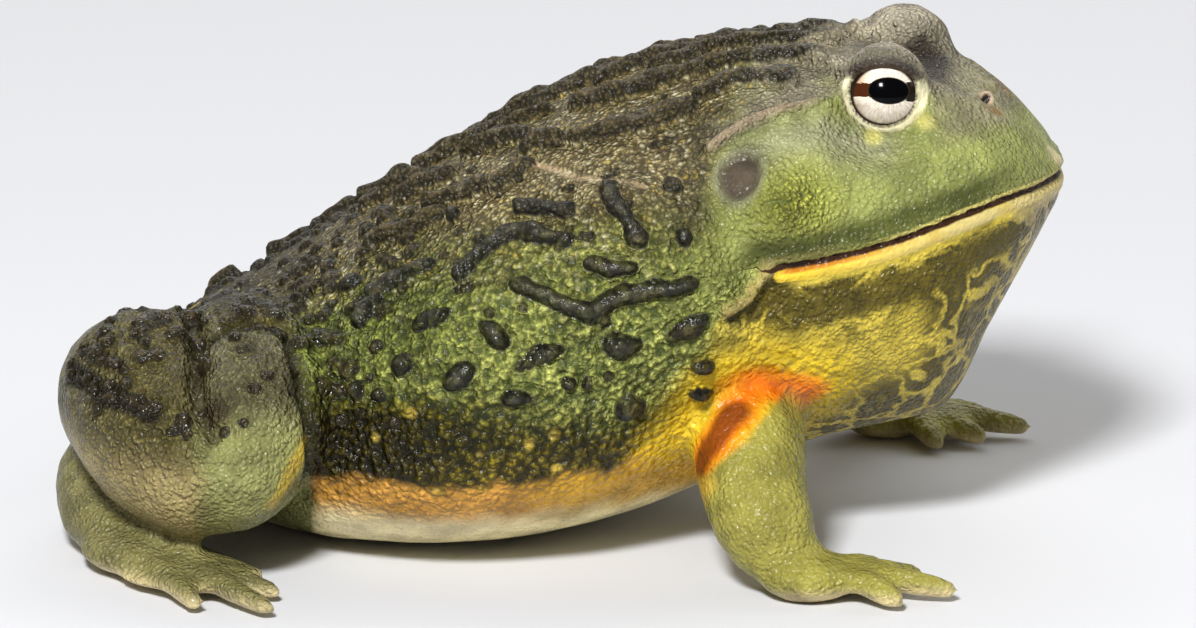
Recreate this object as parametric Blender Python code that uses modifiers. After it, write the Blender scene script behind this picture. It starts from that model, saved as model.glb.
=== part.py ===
"""African bullfrog, a full-grown male sitting propped on its hands, as a still life-size model.

The frog faces +X with its left side at +Y, and its belly, hands and hind feet rest on Z = 0.
Lengths are written in millimetres and turned to metres by MM. Soft forms are runs of overlapping
ellipsoids or lofts, fused by a voxel remesh, thinned, and then parted by thin gaps.
"""

import math

import bmesh
import bpy
import numpy as np
from mathutils import Matrix, Vector

MM = 0.001

# Driving dimensions of the animal.
SNOUT_X = 109.5
VENT_X = -94.0
EYE_DIAMETER = 17.0
EYE_PLACE = (73.8, 19.0, 98.6)
FINGER_RADIUS = 3.4
TOE_RADIUS = 3.2

# How the pieces are made and parted.
SIDES = {"right": -1, "left": 1}
GAP = 0.3
BODY_VOXEL = 2.0
LIMB_VOXEL = 1.15
SHARP_ANGLE = math.radians(38)

# The midline of the back from vent to snout tip, the midline underneath, the half width seen from
# above, and the height at which the body is widest, each as (x, value).
BACK_LINE = [
    (VENT_X, 26), (-91, 33), (-84, 38.5), (-70, 47), (-50, 60), (-30, 73.5), (-8, 86.5), (14, 96),
    (36, 102), (56, 104.5), (74, 102), (85, 98.5), (92, 95.5), (99, 90.5), (104.5, 85), (SNOUT_X, 78.5),
]
UNDER_LINE = [
    (VENT_X, 24), (-90, 14), (-82, 6), (-68, -0.5), (-40, -2.5), (-8, -1.5), (18, 3), (40, 11),
    (58, 19), (74, 23), (84, 25.5), (88, 31), (91, 38.5), (96, 48.5), (102.5, 61), (SNOUT_X, 75),
]
HALF_WIDTH = [
    (VENT_X, 0), (-92, 14), (-87, 24), (-76, 38), (-60, 52), (-38, 65), (-12, 71.5), (10, 69),
    (30, 60), (46, 52.5), (60, 48.5), (76, 42), (90, 33.5), (99, 25.5), (105, 17), (SNOUT_X, 0),
]
WIDEST_LEVEL = [
    (VENT_X, 26), (-60, 27), (-20, 33), (10, 42), (34, 53), (50, 61), (70, 67), (90, 73.5), (SNOUT_X, 76.8),
]
# Exponents of the superellipse above and below the widest level: 2 is round, higher is squarer.
UPPER_FULLNESS = [(VENT_X, 2.1), (-40, 2.15), (20, 2.1), (60, 2.3), (90, 2.45), (SNOUT_X, 2.2)]
LOWER_FULLNESS = [(VENT_X, 2.2), (-40, 2.9), (10, 2.5), (50, 2.1), (80, 2.2), (SNOUT_X, 2.0)]

# The mouth line seen from the side, corner to snout tip, and the lean of the neck cut.
MOUTH_LINE = [(44, 66.5), (53, 67.5), (66, 69.3), (80, 72.3), (90, 75.2), (99, 77.2), (116, 78.0)]
NECK_CUT = ((40.0, 0.0, 64.0), (1.0, 0.0, 0.14))


def smooth_line(points):
    """A function of x through (x, value) points: cubic pieces that don't overshoot between them."""
    xs, ys = np.array(points, float).T
    steps = np.diff(xs)
    slopes = np.diff(ys) / steps
    tangents = np.zeros(len(xs))
    tangents[0], tangents[-1] = slopes[0], slopes[-1]
    for i in range(1, len(xs) - 1):
        if slopes[i - 1] * slopes[i] > 0:
            before = 2 * steps[i] + steps[i - 1]
            after = steps[i] + 2 * steps[i - 1]
            tangents[i] = (before + after) / (before / slopes[i - 1] + after / slopes[i])

    def at(x):
        i = int(np.clip(np.searchsorted(xs, x) - 1, 0, len(steps) - 1))
        t = (x - xs[i]) / steps[i]
        return float(
            (2 * t**3 - 3 * t**2 + 1) * ys[i]
            + (t**3 - 2 * t**2 + t) * steps[i] * tangents[i]
            + (3 * t**2 - 2 * t**3) * ys[i + 1]
            + (t**3 - t**2) * steps[i] * tangents[i + 1]
        )

    return at


def clear_scene():
    for old in list(bpy.data.objects):
        bpy.data.objects.remove(old)


def new_collection(name):
    made = bpy.data.collections.new(name)
    bpy.context.scene.collection.children.link(made)
    return made


def object_from(bm, name, collection):
    mesh = bpy.data.meshes.new(name)
    bm.to_mesh(mesh)
    bm.free()
    made = bpy.data.objects.new(name, mesh)
    collection.objects.link(made)
    return made


def applied(obj):
    """The object with its modifiers made real."""
    bpy.context.view_layer.update()
    graph = bpy.context.evaluated_depsgraph_get()
    mesh = bpy.data.meshes.new_from_object(obj.evaluated_get(graph), depsgraph=graph)
    obj.modifiers.clear()
    obj.data = mesh
    return obj


def ellipsoid(bm, place, radii, turn=0.0):
    """An ellipsoid at place with radii in millimetres, turned about Z in degrees."""
    matrix = (
        Matrix.Translation(Vector(place) * MM)
        @ Matrix.Rotation(math.radians(turn), 4, "Z")
        @ Matrix.Diagonal((*(Vector(radii) * MM), 1.0))
    )
    bmesh.ops.create_icosphere(bm, subdivisions=3, radius=1.0, matrix=matrix)


def muscle(bm, stations, side, flatness=1.0):
    """A limb's flesh: overlapping ellipsoids along a smooth line through (x, y, z, radius) stations.

    y is given for the left side and multiplied by side. flatness scales the height.
    """
    path = np.array(stations, float)
    lengths = np.linalg.norm(np.diff(path[:, :3], axis=0), axis=1)
    travelled = np.concatenate([[0], np.cumsum(lengths)])
    lines = [smooth_line(list(zip(travelled, path[:, k]))) for k in range(4)]
    count = max(3, int(travelled[-1] / (0.2 * path[:, 3].min())))
    for t in np.linspace(0, travelled[-1], count):
        x, y, z, radius = (line(t) for line in lines)
        ellipsoid(bm, (x, side * y, z), (radius, radius, radius * flatness))


def fused(bm, name, collection, voxel, triangles, smoothing=4):
    """One skin round all the shapes in bm, smoothed and thinned to about that many triangles."""
    obj = object_from(bm, name, collection)
    remesh = obj.modifiers.new("fuse", "REMESH")
    remesh.mode = "VOXEL"
    remesh.voxel_size = voxel * MM
    smooth = obj.modifiers.new("smooth", "SMOOTH")
    smooth.factor = 0.5
    smooth.iterations = smoothing
    applied(obj)
    triangulate(obj)
    thin = obj.modifiers.new("thin", "DECIMATE")
    thin.ratio = min(1.0, triangles / len(obj.data.polygons))
    return applied(obj)


def triangulate(obj):
    bm = bmesh.new()
    bm.from_mesh(obj.data)
    bmesh.ops.triangulate(bm, faces=bm.faces)
    bm.to_mesh(obj.data)
    bm.free()


def copied(obj, name, collection):
    copy = obj.copy()
    copy.data = obj.data.copy()
    copy.name = name
    collection.objects.link(copy)
    return copy


def as_cutter(obj):
    obj.hide_render = True
    obj.display_type = "WIRE"
    return obj


def grown(obj):
    """A copy of obj, thicker by the gap all over, to cut its neighbours with."""
    copy = as_cutter(copied(obj, obj.name + "_cutter", cutters))
    normals = [v.normal.copy() for v in copy.data.vertices]
    for vertex, normal in zip(copy.data.vertices, normals):
        vertex.co += normal * GAP * MM
    return copy


def cut(obj, cutter, operation="DIFFERENCE"):
    boolean = obj.modifiers.new(operation.lower(), "BOOLEAN")
    boolean.operation = operation
    boolean.solver = "EXACT"
    boolean.object = cutter
    return applied(obj)


def keep_largest(obj):
    """Drops the crumbs that a cut leaves, keeping the piece with the most faces."""
    bm = bmesh.new()
    bm.from_mesh(obj.data)
    left, shells = set(bm.faces), []
    while left:
        shell, todo = set(), [left.pop()]
        while todo:
            face = todo.pop()
            shell.add(face)
            for edge in face.edges:
                for other in edge.link_faces:
                    if other in left:
                        left.remove(other)
                        todo.append(other)
        shells.append(shell)
    shells.sort(key=len)
    bmesh.ops.delete(bm, geom=[f for s in shells[:-1] for f in s], context="FACES")
    bm.to_mesh(obj.data)
    bm.free()
    return obj


def halved(obj, name, collection, point, normal):
    """A closed copy of the part of obj on the side of the plane that normal points to."""
    bm = bmesh.new()
    bm.from_mesh(obj.data)
    whole = bm.verts[:] + bm.edges[:] + bm.faces[:]
    cut_edges = bmesh.ops.bisect_plane(
        bm, geom=whole, plane_co=Vector(point) * MM, plane_no=normal, clear_inner=True
    )["geom_cut"]
    rim = [e for e in cut_edges if isinstance(e, bmesh.types.BMEdge)]
    bmesh.ops.holes_fill(bm, edges=rim)
    bmesh.ops.triangulate(bm, faces=[f for f in bm.faces if len(f.verts) > 3])
    return object_from(bm, name, collection)


def level_off(obj):
    """Cuts off whatever reaches below the floor, which leaves a flat to stand on."""
    made = halved(obj, obj.name + "_level", parts, (0, 0, 0), (0, 0, 1))
    obj.data = made.data
    bpy.data.objects.remove(made)
    return obj


# Skin and eye colours as sRGB, with roughness.
PAINTS = {
    "back": (0x4E5636, 0.5),
    "throat": (0xB8A63A, 0.5),
    "arm": (0x8D9A55, 0.5),
    "leg": (0x626B48, 0.5),
    "eye": (0xC9BDA0, 0.08),
}


def shade(obj, paint):
    """Gives obj its own material and soft shading."""
    colour, roughness = PAINTS[paint]
    material = bpy.data.materials.get(paint) or bpy.data.materials.new(paint)
    material.use_nodes = True
    surface = next(n for n in material.node_tree.nodes if n.type == "BSDF_PRINCIPLED")
    srgb = [(colour >> shift & 255) / 255 for shift in (16, 8, 0)]
    linear = [c / 12.92 if c <= 0.04045 else ((c + 0.055) / 1.055) ** 2.4 for c in srgb]
    surface.inputs["Base Color"].default_value = (*linear, 1)
    surface.inputs["Roughness"].default_value = roughness
    obj.data.materials.clear()
    obj.data.materials.append(material)
    obj.data.shade_smooth()
    obj.data.set_sharp_from_angle(angle=SHARP_ANGLE)


# Body and head: one loft of superellipse sections, with the eye lids, snout and jaw angles added.


def body_section(x, lines, count):
    back, under, width, level, upper, lower = (line(x) for line in lines)
    ring = []
    for k in range(count):
        angle = 2 * math.pi * k / count
        across, up = math.cos(angle), math.sin(angle)
        power = 2 / (upper if up >= 0 else lower)
        height = (back - level) if up >= 0 else (level - under)
        y = math.copysign(abs(across) ** power, across) * width
        z = level + math.copysign(abs(up) ** power, up) * height
        ring.append(Vector((x, y, z)) * MM)
    return ring


def body_loft(bm, sections=60, around=64):
    lines = [
        smooth_line(line)
        for line in (BACK_LINE, UNDER_LINE, HALF_WIDTH, WIDEST_LEVEL, UPPER_FULLNESS, LOWER_FULLNESS)
    ]
    middle, reach = (SNOUT_X + VENT_X) / 2, (SNOUT_X - VENT_X) / 2
    rings = []
    for i in range(sections):
        x = middle - reach * math.cos(math.pi * (i + 0.35) / (sections - 0.3))
        rings.append([bm.verts.new(p) for p in body_section(x, lines, around)])
    for first, second in zip(rings, rings[1:]):
        for k in range(around):
            after = (k + 1) % around
            bm.faces.new((first[k], first[after], second[after], second[k]))
    bm.faces.new(reversed(rings[0]))
    bm.faces.new(rings[-1])
    bmesh.ops.recalc_face_normals(bm, faces=bm.faces)


def body_shape():
    bm = bmesh.new()
    body_loft(bm)
    for side in (-1, 1):
        ex, ey, ez = EYE_PLACE
        # The brow: a bulge over and behind each eye, open at the side where the eye looks out.
        ellipsoid(bm, (ex - 1, side * (ey - 3.5), ez - 0.5), (11.5, 8.5, 11), side * -8)
        # The ridge from the eye to the nostril.
        muscle(bm, [(ex + 6, ey - 3, ez - 2.5, 6), (92, 11.5, 90, 5), (98, 8, 86.5, 4)], side)
        # The swelling of the jaw muscle at the corner of the mouth.
        ellipsoid(bm, (50, side * 41, 74), (16, 11.5, 15))
        # The shoulder, under the skin of the flank.
        ellipsoid(bm, (24, side * 45, 58), (28, 17, 28))
        # The rump beside the tail bone, where the thigh leaves the body.
        ellipsoid(bm, (-70, side * 24, 25), (20, 18, 16))
    return fused(bm, "trunk", parts, BODY_VOXEL, 2500, smoothing=6)


def eye(end):
    bm = bmesh.new()
    x, y, z = EYE_PLACE
    place = Matrix.Translation(Vector((x, SIDES[end] * y, z)) * MM)
    bmesh.ops.create_uvsphere(bm, u_segments=16, v_segments=10, radius=EYE_DIAMETER / 2 * MM, matrix=place)
    return object_from(bm, f"eye_{end}", parts)


def wedge_below_mouth():
    """The space under the mouth line and ahead of the neck, which holds the lower jaw and throat."""
    line = smooth_line(MOUTH_LINE)
    corner, tip = MOUTH_LINE[0][0], MOUTH_LINE[-1][0]
    reach = 80.0
    xs = np.linspace(corner - 14, tip, 16)
    outline = [(x, line(max(x, corner)) - GAP / 2) for x in xs]
    outline += [(tip, -reach), (corner - 14, -reach)]
    bm = bmesh.new()
    face = bm.faces.new([bm.verts.new(Vector((x, -reach, z)) * MM) for x, z in outline])
    grown_face = bmesh.ops.extrude_face_region(bm, geom=[face])["geom"]
    moved = [v for v in grown_face if isinstance(v, bmesh.types.BMVert)]
    bmesh.ops.translate(bm, verts=moved, vec=Vector((0, 2 * reach, 0)) * MM)
    bmesh.ops.recalc_face_normals(bm, faces=bm.faces)
    return as_cutter(object_from(bm, "jaw_cutter", cutters))


def part_head(body):
    """Parts the fused body into trunk, head and lower jaw with thin gaps."""
    point, normal = NECK_CUT
    ahead = Vector(normal).normalized()
    front = Vector(point) + ahead * GAP / 2
    back = Vector(point) - ahead * GAP / 2
    head = halved(body, "head", parts, front, ahead)
    trunk = halved(body, "trunk_rear", parts, back, -ahead)
    jaw = copied(head, "lower_jaw", parts)
    wedge = wedge_below_mouth()
    cut(jaw, wedge, "INTERSECT")
    raised = copied(wedge, "head_cutter", cutters)
    raised.location.z = GAP * MM
    cut(head, raised)
    body.data = trunk.data
    bpy.data.objects.remove(trunk)
    return keep_largest(head), keep_largest(jaw)


# Limbs. Stations are (x, y, z, radius) on the left side, and the right side takes them mirrored.
# A plane is a point on it and its normal. The right knee is pushed out to the side, with the shank
# folded behind the thigh. The left knee points forward along the flank, with the shank folded
# under it.

ARM = [
    (44, 33, 32, 12.5), (47.5, 46, 28, 12.5), (50, 56, 21, 11.5), (53.5, 62, 14, 10.5), (58, 64, 8.5, 7.5),
    (62, 64, 5.5, 6),
]
ELBOW = ((50.5, 57, 20), (0.25, 0.72, -0.64))
WRIST = ((59.5, 64, 7), (0.85, 0.05, -0.5))
HAND = {"palm": (63, 65.5, 4.6), "heading": 12, "spreads": (46, 14, -14, -44), "lengths": (17, 20, 26, 19)}

LEGS = {
    "right": {
        "thigh": [(-66, 18, 31, 17), (-60, 45, 35.5, 19.5), (-57, 62, 32.5, 18), (-60, 72, 26, 15)],
        "shank": [
            (-67, 72, 24, 14.5), (-75, 64, 29, 18), (-81, 50, 33, 19.5), (-87, 36, 30, 16), (-91, 24, 20, 10),
        ],
        "crease": ((-68.5, 60, 30), (0.985, -0.17, 0.0)),
        "heel": [(-91, 24, 18, 9), (-95, 36, 12, 9), (-93, 50, 8, 8), (-86, 62, 5.5, 7)],
        "sole": (-80, 67, 4.6),
        "heading": -36,
    },
    "left": {
        "thigh": [(-66, 20, 27, 16), (-56, 42, 28, 17), (-40, 60, 25, 17), (-26, 70, 19, 14)],
        "shank": [
            (-26, 75, 17, 12), (-42, 80, 17, 14.5), (-58, 75, 18, 15), (-74, 62, 16, 12.5), (-86, 48, 12, 9),
        ],
        "crease": ((-49, 64.5, 22), (0.56, -0.78, 0.28)),
        "heel": [(-87, 47, 12, 8.5), (-92, 56, 9, 8), (-90, 64, 7, 7.5), (-84, 70, 5.5, 7)],
        "sole": (-77, 72, 4.6),
        "heading": -28,
    },
}
TOE_SPREADS = (34, 19, 6, -7, -23)
TOE_LENGTHS = (20, 29, 38, 46, 35)


def limb(bm, name, triangles, neighbours):
    """A limb cut clear of its neighbours and set on the floor, with a cutter of its whole shape."""
    whole = fused(bm, name, parts, LIMB_VOXEL, triangles)
    cutter = grown(whole)
    for other in neighbours:
        cut(whole, other)
    level_off(keep_largest(whole))
    return whole, cutter


def part_limb(whole, names, plane, side, paint):
    """Parts whole by a thin plane gap into the piece behind the plane and the piece ahead of it."""
    point, normal = (Vector((x, side * y, z)) for x, y, z in plane)
    normal.normalize()
    pieces = []
    for name, sign in zip(names, (-1, 1)):
        piece = halved(whole, name, parts, point + sign * normal * GAP / 2, sign * normal)
        keep_largest(piece)
        shade(piece, paint)
        pieces.append(piece)
    bpy.data.objects.remove(whole)
    return pieces


def digits(bm, side, base, heading, spreads, lengths, radius):
    """Fingers or toes fanned out from base. A positive angle turns towards the midline."""
    x0, y0, z0 = base
    tip_height = 0.75 * radius
    for spread, length in zip(spreads, lengths):
        angle = math.radians(heading + spread)
        ahead, across = math.cos(angle), -math.sin(angle)
        stations = []
        for share, swell, lift in ((0, 1.15, 0), (0.35, 0.95, 1.2), (0.7, 0.92, 0.8), (1, 0.72, 0)):
            z = z0 + (tip_height - z0) * share + lift
            stations.append((x0 + ahead * length * share, y0 + across * length * share, z, radius * swell))
        muscle(bm, stations, side, 0.92)


def arm(end, body_cutter):
    side = SIDES[end]
    bm = bmesh.new()
    muscle(bm, ARM, side)
    x, y, z = HAND["palm"]
    ellipsoid(bm, (x, side * y, z), (11, 10.5, 5.4), side * HAND["heading"])
    digits(bm, side, (x + 4, y - 1, z), HAND["heading"], HAND["spreads"], HAND["lengths"], FINGER_RADIUS)
    whole, _ = limb(bm, f"arm_{end}", 680, [body_cutter])
    _, lower = part_limb(whole, (f"upper_arm_{end}", f"lower_arm_{end}"), ELBOW, side, "arm")
    part_limb(lower, (f"forearm_{end}", f"hand_{end}"), WRIST, side, "arm")


def leg(end, body_cutter):
    side = SIDES[end]
    pose = LEGS[end]
    bm = bmesh.new()
    muscle(bm, pose["thigh"], side)
    muscle(bm, pose["shank"], side)
    whole, cutter = limb(bm, f"leg_{end}", 520, [body_cutter])
    part_limb(whole, (f"shank_{end}", f"thigh_{end}"), pose["crease"], side, "leg")
    bm = bmesh.new()
    muscle(bm, pose["heel"], side, 0.95)
    x, y, z = pose["sole"]
    turn = side * -pose["heading"]
    ellipsoid(bm, (x, side * y, z), (15, 12, 5.2), turn)
    digits(bm, side, (x - 1, y + 1, 4), pose["heading"], TOE_SPREADS, TOE_LENGTHS, TOE_RADIUS)
    # The web between the toes, and the digging spur on the inner edge of the sole.
    ellipsoid(bm, (x + 10, side * (y + 10), 2.6), (17, 13, 1.6), turn)
    ellipsoid(bm, (x + 6, side * (y - 10), 3.4), (7.5, 4, 3.6), turn)
    foot, _ = limb(bm, f"foot_{end}", 560, [body_cutter, cutter])
    shade(foot, "leg")


def build():
    body = body_shape()
    level_off(body)
    body_cutter = grown(body)
    head, jaw = part_head(body)
    for end in SIDES:
        ball = eye(end)
        cut(head, grown(ball))
        shade(ball, "eye")
    keep_largest(head)
    shade(body, "back")
    shade(head, "back")
    shade(jaw, "throat")
    for end in SIDES:
        arm(end, body_cutter)
        leg(end, body_cutter)
    centre_on_origin()


def centre_on_origin():
    """Moves the finished pieces so that the middle of their footprint box is the origin."""
    corners = [v.co for obj in parts.objects for v in obj.data.vertices]
    middle = [(min(c[k] for c in corners) + max(c[k] for c in corners)) / 2 for k in (0, 1)]
    shift = Matrix.Translation((-middle[0], -middle[1], 0))
    for obj in parts.objects:
        obj.data.transform(shift)


clear_scene()
parts = new_collection("bullfrog")
cutters = new_collection("cutters")
build()
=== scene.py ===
"""African bullfrog, life size: its living looks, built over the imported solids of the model."""
import math

import bmesh
import bpy
import numpy as np
from mathutils import Matrix, Vector, noise
from mathutils.bvhtree import BVHTree


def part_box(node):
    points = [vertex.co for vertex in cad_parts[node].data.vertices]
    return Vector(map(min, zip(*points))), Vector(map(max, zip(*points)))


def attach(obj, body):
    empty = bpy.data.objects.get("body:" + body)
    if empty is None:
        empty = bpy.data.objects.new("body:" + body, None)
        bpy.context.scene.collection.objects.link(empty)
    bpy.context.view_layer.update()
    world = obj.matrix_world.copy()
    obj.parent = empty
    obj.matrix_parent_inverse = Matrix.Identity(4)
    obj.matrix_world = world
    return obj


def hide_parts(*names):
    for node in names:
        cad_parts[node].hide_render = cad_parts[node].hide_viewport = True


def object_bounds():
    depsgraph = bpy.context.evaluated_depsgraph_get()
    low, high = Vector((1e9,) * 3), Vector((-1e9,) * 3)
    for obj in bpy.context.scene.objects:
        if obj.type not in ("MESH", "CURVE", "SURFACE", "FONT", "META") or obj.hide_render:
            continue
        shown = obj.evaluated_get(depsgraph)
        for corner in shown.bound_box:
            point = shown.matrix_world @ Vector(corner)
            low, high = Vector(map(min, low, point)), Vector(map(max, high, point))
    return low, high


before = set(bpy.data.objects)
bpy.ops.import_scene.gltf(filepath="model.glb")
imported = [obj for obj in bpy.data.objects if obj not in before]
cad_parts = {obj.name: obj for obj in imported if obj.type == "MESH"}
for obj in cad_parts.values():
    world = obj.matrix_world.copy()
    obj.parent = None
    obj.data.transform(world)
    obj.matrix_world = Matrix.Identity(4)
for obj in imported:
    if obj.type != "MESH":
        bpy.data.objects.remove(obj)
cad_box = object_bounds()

# The camera. It looks at the right flank from a little ahead of square and 15 degrees above level,
# from three metres, so that the body is seen almost without perspective, in a frame 258 mm wide.
MM = 0.001
VIEW_TURN = math.radians(8.5)
VIEW_RISE = math.radians(15.0)
VIEW_DISTANCE = 3.0
VIEW_TARGET = Vector((0.00558, -0.00061, 0.0423))
FRAME_WIDTH = 258.3153 * MM

towards_viewer = Vector(
    (
        math.sin(VIEW_TURN) * math.cos(VIEW_RISE),
        -math.cos(VIEW_TURN) * math.cos(VIEW_RISE),
        math.sin(VIEW_RISE),
    )
)
camera = bpy.data.objects.new("camera", bpy.data.cameras.new("camera"))
camera.data.lens = camera.data.sensor_width * VIEW_DISTANCE / FRAME_WIDTH
camera.data.clip_end = 20.0
camera.location = VIEW_TARGET + towards_viewer * VIEW_DISTANCE
camera.rotation_euler = towards_viewer.to_track_quat("Z", "Y").to_euler()
bpy.context.collection.objects.link(camera)
bpy.context.scene.camera = camera

# The skin, first form. It is one hide over head, jaw, trunk and limbs: the fifteen solids of flesh
# are grown until they touch, given at each eye a mound, a round lid and a hood over its upper half,
# and remeshed as a single body, which is then smoothed and drawn back to its size.

# Places are in mm, x forward from under the eyes, the frog's left +y, and z up from the floor.
EYE_PLACE = (73.8, 19.0, 98.6)
EYE_BACK = 1.1
EYE_AXIS = (0.143, 0.955, 0.259)
LID_RADIUS = 8.3
LID_THICKNESS = 1.2
LID_OUT = 4.0
HOOD_THICKNESS = 1.5
HOOD_OUT = 0.7
HOOD_DROP = 0.5
HOOD_FOOT = 1.0
MOUND_HEIGHT = 11.0
MOUND_RADIUS = 11.5
GROWTH = 0.42
VOXEL = 1.38
SMOOTH_ROUNDS = 14

eye_centres = {}
for side in ("left", "right"):
    low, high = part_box("eye_" + side)
    eye_centres[side] = (low + high) / 2
between_eyes = (eye_centres["left"] + eye_centres["right"]) / 2
ORIGIN = np.array(between_eyes) / MM - (EYE_PLACE[0], 0.0, EYE_PLACE[2])
EYE = np.array(EYE_PLACE) - (EYE_BACK, 0.0, 0.0)
for centre in eye_centres.values():
    centre.x -= EYE_BACK * MM


def metres(point):
    """A place in mm as the model has it, in metres."""
    return Vector((np.array(point, float) + ORIGIN) * MM)


def ring(bm, centre, axis, radius, thickness):
    """A round ring of flesh, made by spinning a circle about its axis."""
    across = axis.orthogonal().normalized()
    turned = axis.cross(across).to_track_quat("Z", "Y").to_matrix().to_4x4()
    turned.translation = Vector(centre) + across * radius
    section = bmesh.ops.create_circle(bm, segments=12, radius=thickness, matrix=turned)["verts"]
    edges = list({edge for vert in section for edge in vert.link_edges})
    bmesh.ops.spin(
        bm,
        geom=section + edges,
        cent=centre,
        axis=axis,
        angle=math.tau,
        steps=40,
        use_merge=True,
    )


def axis_of(side):
    """The way an eye faces."""
    forward, out, up = EYE_AXIS
    return Vector((forward, out if side == "left" else -out, up)).normalized()


def eye_ways(side):
    """An eye's own directions: level, upward and outward."""
    facing = axis_of(side)
    level_way = (Vector((1, 0, 0)) - facing * facing.x).normalized()
    up_way = facing.cross(level_way)
    return level_way, up_way * math.copysign(1.0, up_way.z), facing


flesh = bmesh.new()
for name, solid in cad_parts.items():
    if not name.startswith("eye"):
        flesh.from_mesh(solid.data)
bmesh.ops.remove_doubles(flesh, verts=flesh.verts, dist=1e-6)
flesh.normal_update()
flesh_normals = [vert.normal.copy() for vert in flesh.verts]
for vert, normal in zip(flesh.verts, flesh_normals):
    vert.co += normal * GROWTH * MM


def join(piece):
    """Adds a closed piece to the flesh."""
    bmesh.ops.recalc_face_normals(piece, faces=piece.faces)
    mesh = bpy.data.meshes.new("joined")
    piece.to_mesh(mesh)
    flesh.from_mesh(mesh)
    bpy.data.meshes.remove(mesh)
    piece.free()


for side in ("left", "right"):
    lids = bmesh.new()
    axis = axis_of(side)
    rim = eye_centres[side] + axis * LID_OUT * MM
    ring(lids, rim, axis, LID_RADIUS * MM, LID_THICKNESS * MM)
    mound_turn = axis.to_track_quat("Z", "Y").to_matrix().to_4x4()
    mound_turn.translation = rim - axis * MOUND_HEIGHT / 2 * MM
    bmesh.ops.create_cone(
        lids,
        cap_ends=True,
        segments=48,
        radius1=MOUND_RADIUS * MM,
        radius2=LID_RADIUS * MM,
        depth=MOUND_HEIGHT * MM,
        matrix=mound_turn,
    )
    hood = bmesh.new()
    above = (Vector((0, 0, 1)) - axis * axis.z).normalized()
    hood_place = rim + (axis * HOOD_OUT - above * HOOD_DROP) * MM
    ring(hood, hood_place, axis, LID_RADIUS * MM, HOOD_THICKNESS * MM)
    cut = bmesh.ops.bisect_plane(
        hood,
        geom=hood.verts[:] + hood.edges[:] + hood.faces[:],
        plane_co=hood_place + above * HOOD_FOOT * MM,
        plane_no=-above,
        clear_outer=True,
    )["geom_cut"]
    bmesh.ops.holes_fill(hood, edges=[part for part in cut if isinstance(part, bmesh.types.BMEdge)])
    join(hood)
    join(lids)

skin_mesh = bpy.data.meshes.new("skin")
flesh.to_mesh(skin_mesh)
flesh.free()
skin = bpy.data.objects.new("skin", skin_mesh)
bpy.context.collection.objects.link(skin)
as_one = skin.modifiers.new("as_one", "REMESH")
as_one.mode = "VOXEL"
as_one.voxel_size = VOXEL * MM
skin.data = bpy.data.meshes.new_from_object(
    skin.evaluated_get(bpy.context.evaluated_depsgraph_get())
)
skin.modifiers.clear()


class Hide:
    """The points and normals of a bmesh in mm, with its edges, for work on all of it at once."""

    def __init__(self, bm):
        bm.normal_update()
        bm.verts.index_update()
        self.points = np.array([v.co for v in bm.verts]) / MM - ORIGIN
        self.normals = np.array([v.normal for v in bm.verts])
        self.edges = np.array([[v.index for v in e.verts] for e in bm.edges])

    def give_back(self, bm):
        """Moves the bmesh's vertices to the points."""
        for vert, place in zip(bm.verts, (self.points + ORIGIN) * MM):
            vert.co = place
        bm.normal_update()

    def spread(self, values):
        """The mean of each point's neighbours."""
        ends = np.concatenate([self.edges, self.edges[:, ::-1]])
        count = np.bincount(ends[:, 0], minlength=len(values))
        sums = [
            np.bincount(ends[:, 0], weights=values[ends[:, 1], k], minlength=len(values))
            for k in range(values.shape[1])
        ]
        return np.stack(sums, axis=1) / np.maximum(count, 1)[:, None]

    def smooth(self, rounds, strength=0.5):
        """Evens out facets and keeps the volume: each inward round is followed by one outward."""
        for _ in range(rounds):
            for step in (strength, -strength * 1.04):
                self.points += (self.spread(self.points) - self.points) * step


body = bmesh.new()
body.from_mesh(skin.data)
hide = Hide(body)
hide.smooth(SMOOTH_ROUNDS)
hide.give_back(body)
hide = Hide(body)
hide.points -= hide.normals * GROWTH
hide.give_back(body)
bmesh.ops.triangulate(body, faces=body.faces)

# The skin, its landmarks. They are found on the smooth hide itself: places on the back by dropping
# a line on it, and places on a flank by a line from that side.
smooth_tree = BVHTree.FromBMesh(body)


def found(start, direction):
    hit = smooth_tree.ray_cast(metres(start), Vector(direction))[0]
    return None if hit is None else np.array(hit) / MM - ORIGIN


def on_back(x, y):
    return found((x, y, 200.0), (0, 0, -1))


def on_flank(x, z, side):
    return found((x, side * 150.0, z), (0, -side, 0))


MOUTH = [
    (108.6, 0.0, 77.8),
    (107.9, 5.0, 77.8),
    (105.7, 13.7, 78.1),
    (102.3, 20.8, 78.0),
    (98.5, 25.5, 77.5),
    (92.8, 31.0, 76.1),
    (87.0, 35.5, 74.4),
    (79.0, 40.2, 72.0),
    (71.0, 44.1, 70.1),
    (62.9, 47.5, 68.7),
    (56.9, 50.1, 68.0),
    (52.7, 51.0, 67.7),
]
CORNER_FOLD = [(52.7, 51.0, 67.7), (50.0, 51.6, 64.0), (47.7, 53.3, 61.1), (43.9, 56.5, 59.1)]
BROW_RIDGE = [(61.0, 28.9, 98.2), (53.5, 31.6, 96.9), (45.3, 34.8, 94.4), (38.9, 39.1, 90.6)]
EAR_SIZE = (5.3, 6.6, 6.8)
EAR = np.array(smooth_tree.find_nearest(metres((45.5, 45.8, 86.4)))[0]) / MM - ORIGIN
NOSTRIL = np.array(smooth_tree.find_nearest(metres((92.9, 6.6, 94.7)))[0]) / MM - ORIGIN
LIP_WIDTH = 3.3
LIP = [(x, y, z - LIP_WIDTH / 2 - 0.2) for x, y, z in MOUTH if x > 54.0] + [(54.8, 50.5, 66.0)]

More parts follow.
